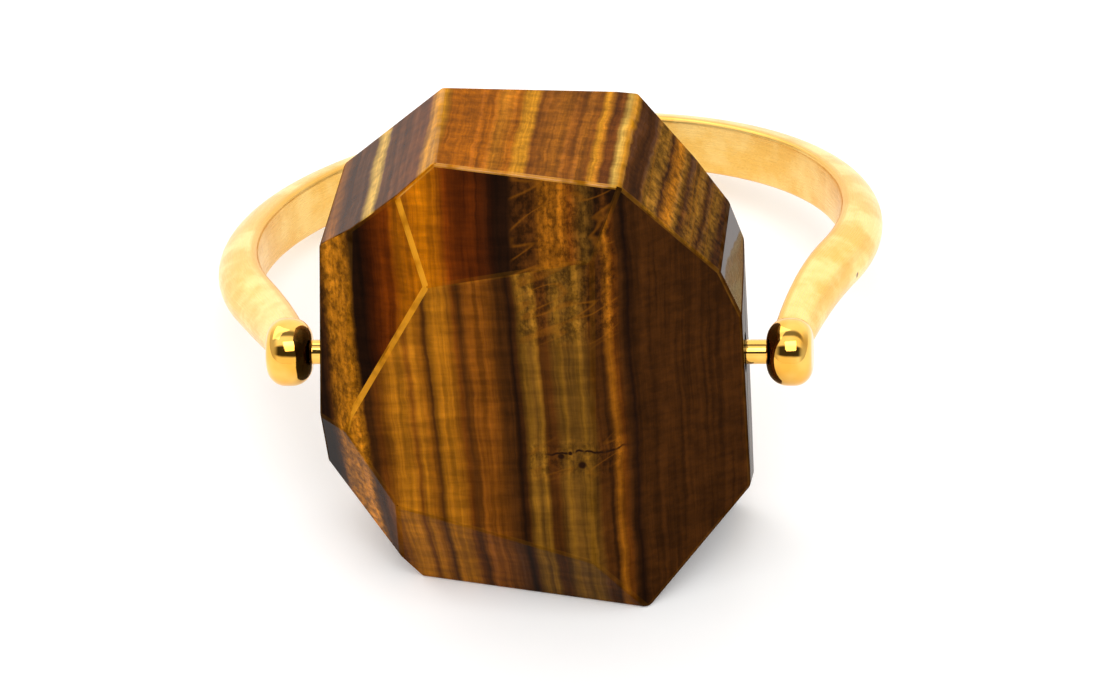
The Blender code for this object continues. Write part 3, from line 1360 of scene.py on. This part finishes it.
def soft_light(lamp):
    """A square soft light that looks at the ring from a direction."""
    light = bpy.data.lights.new(lamp.name, "AREA")
    light.size = lamp.size
    light.energy = lamp.power
    item = bpy.data.objects.new(lamp.name, light)
    direction = Vector((lamp.across, lamp.back, lamp.up)).normalized()
    item.location = PIN_CENTRE + direction * lamp.distance
    item.rotation_euler = (item.location - PIN_CENTRE).to_track_quat("Z", "Y").to_euler()
    bpy.context.scene.collection.objects.link(item)


def make_sky(strength):
    """Soft studio light all round, in broad strips from the front over to the back."""
    world = bpy.data.worlds.new("studio")
    bpy.context.scene.world = world
    world.use_nodes = True
    make = MaterialMaker(world.node_tree)
    direction = make.add("ShaderNodeTexCoord").outputs["Generated"]
    across, back, up = make.split(direction)
    turn = make.math("ARCTAN2", up, make.math("MULTIPLY", back, -1.0))
    share = make.math("DIVIDE", turn, pi)
    strips = make.colours(share, [(row.degrees / 180, (row.level,) * 3) for row in SKY])
    sideways = make.ramp(make.math("ABSOLUTE", across), 0.55, 0.95)
    light = make.mix(sideways, strips, (SKY_EVEN, SKY_EVEN, SKY_EVEN, 1.0))
    seen = make.add("ShaderNodeLightPath").outputs["Is Camera Ray"]
    background = world.node_tree.nodes["Background"]
    make.join(make.mix(seen, light, (1.0, 1.0, 1.0, 1.0)), background.inputs["Color"])
    background.inputs["Strength"].default_value = strength


def make_camera(settings):
    """Looks down at the ring from its front, a little from the right."""
    around, above = settings.yaw, settings.elevation
    back = Vector((sin(around) * cos(above), -cos(around) * cos(above), sin(above)))
    right = Vector((cos(around), sin(around), 0))
    up = back.cross(right)
    aim = PIN_CENTRE + right * settings.aim_right + up * settings.aim_up
    data = bpy.data.cameras.new("camera")
    data.sensor_width = 36.0
    data.lens = data.sensor_width * settings.distance / settings.view_width
    data.clip_end = 10.0
    camera = bpy.data.objects.new("camera", data)
    camera.matrix_world = Matrix.Translation(aim + back * settings.distance) @ (
        Matrix((right, up, back)).transposed().to_4x4()
    )
    bpy.context.scene.collection.objects.link(camera)
    bpy.context.scene.camera = camera


class RING_OT_set_stage(bpy.types.Operator):
    """Lay the floor and set the lights and the camera"""

    bl_idname = "swivel_ring.set_stage"
    bl_label = "Set Stage"

    def execute(self, context):
        settings = context.scene.ring_stage
        work = bmesh.new()
        bmesh.ops.create_grid(
            work, x_segments=FLOOR_SQUARES, y_segments=FLOOR_SQUARES, size=FLOOR_REACH
        )
        floor = bpy.data.objects.new("floor", mesh_from(work, "floor"))
        floor.data.materials.append(floor_material(settings.floor_colour))
        context.scene.collection.objects.link(floor)
        for lamp in LAMPS:
            soft_light(lamp)
        make_sky(settings.sky_strength)
        make_camera(settings)
        context.scene.view_settings.view_transform = "Standard"
        return {"FINISHED"}


class RING_PT_ring(bpy.types.Panel):
    bl_idname = "RING_PT_ring"
    bl_label = "Swivel Stone Ring"
    bl_space_type = "VIEW_3D"
    bl_region_type = "UI"
    bl_category = "Ring"

    def draw(self, context):
        layout = self.layout
        for title, group, operator in (
            ("Band", context.scene.ring_band, RING_OT_make_band),
            ("Barrels and pins", context.scene.ring_barrels, RING_OT_make_barrels),
            ("Stone", context.scene.ring_stone, RING_OT_make_stone),
            ("Stage", context.scene.ring_stage, RING_OT_set_stage),
        ):
            box = layout.box()
            box.label(text=title)
            for name in group.bl_rna.properties.keys():
                if name not in ("rna_type", "name"):
                    box.prop(group, name)
            box.operator(operator.bl_idname)


SETTINGS = (
    ("ring_band", RingBandSettings),
    ("ring_barrels", RingBarrelSettings),
    ("ring_stone", RingStoneSettings),
    ("ring_stage", RingStageSettings),
)
CLASSES = (
    RingBandSettings,
    RingBarrelSettings,
    RingStoneSettings,
    RingStageSettings,
    RING_OT_make_band,
    RING_OT_make_barrels,
    RING_OT_make_stone,
    RING_OT_set_stage,
    RING_PT_ring,
)


def register():
    for item in CLASSES:
        bpy.utils.register_class(item)
    for name, group in SETTINGS:
        setattr(bpy.types.Scene, name, PointerProperty(type=group))


def unregister():
    for name, _ in SETTINGS:
        delattr(bpy.types.Scene, name)
    for item in reversed(CLASSES):
        bpy.utils.unregister_class(item)


def main():
    register()
    bpy.ops.swivel_ring.set_stage()
    bpy.ops.swivel_ring.make_band()
    bpy.ops.swivel_ring.make_barrels()
    bpy.ops.swivel_ring.make_stone()


if __name__ == "__main__":
    main()
